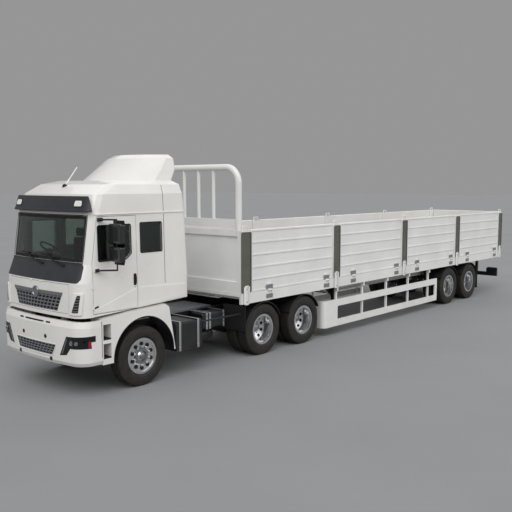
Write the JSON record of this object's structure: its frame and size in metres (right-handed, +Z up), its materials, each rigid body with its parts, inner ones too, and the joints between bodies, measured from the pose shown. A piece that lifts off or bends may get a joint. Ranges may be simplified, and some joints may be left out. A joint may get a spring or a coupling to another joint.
{
  "type": "articulated lorry with drop-side flatbed semi-trailer",
  "caption": "Cab-over tractor unit hinged to a long flatbed semi-trailer with folding side boards, front hoop and side guards.",
  "frame": {"origin": "on the ground under the middle of the whole lorry", "axes": "+Z up, -Y the way it drives, +X the vehicle's left side"},
  "size_m": [3.07, 16.495, 4.03],
  "materials": {
    "cab_paint": "gloss",
    "front_plastic": "gloss",
    "bed_paint": "satin",
    "post_paint": "satin",
    "chassis_paint": "satin",
    "dark_plastic": "satin",
    "guard_plastic": "matte",
    "interior": "matte",
    "seat_cloth": "matte",
    "cast_iron": "matte",
    "rim_steel": "satin",
    "tyre": "matte",
    "lamp_glass": "gloss",
    "glass": "gloss",
    "deck_wood": "matte"
  },
  "bodies": {
    "tractor": {"tractor_frame": "chassis_paint", "tractor_axles": "cast_iron", "engine_block": "cast_iron", "front_bumper": "front_plastic", "headlamps": "lamp_glass", "front_fenders": "front_plastic", "chassis_tanks": "chassis_paint", "rear_mudguards": "guard_plastic", "fifth_wheel": "cast_iron"},
    "cab": {"cab_shell": "cab_paint", "windscreen": "glass", "cab_side_glass": "glass", "sun_visor": "dark_plastic", "roof_deflector": "front_plastic", "cab_dashboard": "interior", "cab_seats": "seat_cloth"},
    "front_flap": {"front_flap": "cab_paint"},
    "door_left": {"door_left": "cab_paint", "door_left_glass": "glass"},
    "door_right": {"door_right": "cab_paint", "door_right_glass": "glass"},
    "trailer": {"trailer_frame": "bed_paint", "trailer_deck": "deck_wood", "headboard": "bed_paint", "trailer_posts": "post_paint", "underrun_guards": "bed_paint", "landing_legs": "chassis_paint", "trailer_axles": "cast_iron", "trailer_mudguards": "guard_plastic"},
    "tailgate": {"tailgate": "bed_paint"},
    "knuckle_left": {"knuckle_left": "cast_iron"},
    "front_wheel_left": {"front_tyre_left": "tyre", "front_rim_left": "rim_steel"},
    "drive_wheels_1_left": {"drive_tyres_1_left": "tyre", "drive_rims_1_left": "rim_steel"},
    "drive_wheels_2_left": {"drive_tyres_2_left": "tyre", "drive_rims_2_left": "rim_steel"},
    "trailer_wheels_1_left": {"trailer_tyres_1_left": "tyre", "trailer_rims_1_left": "rim_steel"},
    "trailer_wheels_2_left": {"trailer_tyres_2_left": "tyre", "trailer_rims_2_left": "rim_steel"},
    "board_left_1": {"board_left_1": "bed_paint"},
    "board_left_2": {"board_left_2": "bed_paint"},
    "board_left_3": {"board_left_3": "bed_paint"},
    "board_left_4": {"board_left_4": "bed_paint"},
    "knuckle_right": {"knuckle_right": "cast_iron"},
    "front_wheel_right": {"front_tyre_right": "tyre", "front_rim_right": "rim_steel"},
    "drive_wheels_1_right": {"drive_tyres_1_right": "tyre", "drive_rims_1_right": "rim_steel"},
    "drive_wheels_2_right": {"drive_tyres_2_right": "tyre", "drive_rims_2_right": "rim_steel"},
    "trailer_wheels_1_right": {"trailer_tyres_1_right": "tyre", "trailer_rims_1_right": "rim_steel"},
    "trailer_wheels_2_right": {"trailer_tyres_2_right": "tyre", "trailer_rims_2_right": "rim_steel"},
    "board_right_1": {"board_right_1": "bed_paint"},
    "board_right_2": {"board_right_2": "bed_paint"},
    "board_right_3": {"board_right_3": "bed_paint"},
    "board_right_4": {"board_right_4": "bed_paint"}
  },
  "joints": [
    {"name": "coupling_yaw", "type": "hinge", "parent": "tractor", "child": "trailer", "pos_m": [0, -3.0525, 1.18], "axis": [0, 0, 1], "range_deg": [-90, 90]},
    {"name": "cab_tilt", "type": "hinge", "parent": "tractor", "child": "cab", "pos_m": [0, -8.0975, 1.15], "axis": [1, 0, 0], "range_deg": [0, 55]},
    {"name": "front_flap_hinge", "type": "hinge", "parent": "cab", "child": "front_flap", "pos_m": [0, -8.1855, 1.8865], "axis": [-1, 0, 0], "range_deg": [0, 75]},
    {"name": "door_left_hinge", "type": "hinge", "parent": "cab", "child": "door_left", "pos_m": [1.159, -7.8535, 1.67], "axis": [0, 0, -1], "range_deg": [0, 75]},
    {"name": "door_right_hinge", "type": "hinge", "parent": "cab", "child": "door_right", "pos_m": [-1.159, -7.8535, 1.67], "axis": [0, 0, 1], "range_deg": [0, 75]},
    {"name": "steering_left", "type": "hinge", "parent": "tractor", "child": "knuckle_left", "pos_m": [0.86, -6.8475, 0.525], "axis": [0, 0, 1], "range_deg": [-38, 38]},
    {"name": "steering_right", "type": "hinge", "parent": "tractor", "child": "knuckle_right", "pos_m": [-0.86, -6.8475, 0.525], "axis": [0, 0, 1], "range_deg": [-38, 38]},
    {"name": "front_wheel_left_spin", "type": "hinge", "parent": "knuckle_left", "child": "front_wheel_left", "pos_m": [1.02, -6.8475, 0.525], "axis": [1, 0, 0], "continuous": true},
    {"name": "drive_wheels_1_left_spin", "type": "hinge", "parent": "tractor", "child": "drive_wheels_1_left", "pos_m": [0.9325, -3.7275, 0.525], "axis": [1, 0, 0], "continuous": true},
    {"name": "drive_wheels_2_left_spin", "type": "hinge", "parent": "tractor", "child": "drive_wheels_2_left", "pos_m": [0.9325, -2.3775, 0.525], "axis": [1, 0, 0], "continuous": true},
    {"name": "trailer_wheels_1_left_spin", "type": "hinge", "parent": "trailer", "child": "trailer_wheels_1_left", "pos_m": [0.9325, 4.5875, 0.525], "axis": [1, 0, 0], "continuous": true},
    {"name": "trailer_wheels_2_left_spin", "type": "hinge", "parent": "trailer", "child": "trailer_wheels_2_left", "pos_m": [0.9325, 5.9275, 0.525], "axis": [1, 0, 0], "continuous": true},
    {"name": "board_left_1_hinge", "type": "hinge", "parent": "trailer", "child": "board_left_1", "pos_m": [1.266, -2.805, 1.33], "axis": [0, 1, 0], "range_deg": [0, 180]},
    {"name": "board_left_2_hinge", "type": "hinge", "parent": "trailer", "child": "board_left_2", "pos_m": [1.266, 0.33, 1.33], "axis": [0, 1, 0], "range_deg": [0, 180]},
    {"name": "board_left_3_hinge", "type": "hinge", "parent": "trailer", "child": "board_left_3", "pos_m": [1.266, 3.465, 1.33], "axis": [0, 1, 0], "range_deg": [0, 180]},
    {"name": "board_left_4_hinge", "type": "hinge", "parent": "trailer", "child": "board_left_4", "pos_m": [1.266, 6.6, 1.33], "axis": [0, 1, 0], "range_deg": [0, 180]},
    {"name": "front_wheel_right_spin", "type": "hinge", "parent": "knuckle_right", "child": "front_wheel_right", "pos_m": [-1.02, -6.8475, 0.525], "axis": [1, 0, 0], "continuous": true},
    {"name": "drive_wheels_1_right_spin", "type": "hinge", "parent": "tractor", "child": "drive_wheels_1_right", "pos_m": [-0.9325, -3.7275, 0.525], "axis": [1, 0, 0], "continuous": true},
    {"name": "drive_wheels_2_right_spin", "type": "hinge", "parent": "tractor", "child": "drive_wheels_2_right", "pos_m": [-0.9325, -2.3775, 0.525], "axis": [1, 0, 0], "continuous": true},
    {"name": "trailer_wheels_1_right_spin", "type": "hinge", "parent": "trailer", "child": "trailer_wheels_1_right", "pos_m": [-0.9325, 4.5875, 0.525], "axis": [1, 0, 0], "continuous": true},
    {"name": "trailer_wheels_2_right_spin", "type": "hinge", "parent": "trailer", "child": "trailer_wheels_2_right", "pos_m": [-0.9325, 5.9275, 0.525], "axis": [1, 0, 0], "continuous": true},
    {"name": "board_right_1_hinge", "type": "hinge", "parent": "trailer", "child": "board_right_1", "pos_m": [-1.266, -2.805, 1.33], "axis": [0, 1, 0], "range_deg": [-180, 0]},
    {"name": "board_right_2_hinge", "type": "hinge", "parent": "trailer", "child": "board_right_2", "pos_m": [-1.266, 0.33, 1.33], "axis": [0, 1, 0], "range_deg": [-180, 0]},
    {"name": "board_right_3_hinge", "type": "hinge", "parent": "trailer", "child": "board_right_3", "pos_m": [-1.266, 3.465, 1.33], "axis": [0, 1, 0], "range_deg": [-180, 0]},
    {"name": "board_right_4_hinge", "type": "hinge", "parent": "trailer", "child": "board_right_4", "pos_m": [-1.266, 6.6, 1.33], "axis": [0, 1, 0], "range_deg": [-180, 0]},
    {"name": "tailgate_hinge", "type": "hinge", "parent": "trailer", "child": "tailgate", "pos_m": [0, 8.2335, 1.33], "axis": [-1, 0, 0], "range_deg": [0, 180]}
  ],
  "couplings": [
    {"joint": "steering_right", "follows": "steering_left", "ratio": 1}
  ]
}
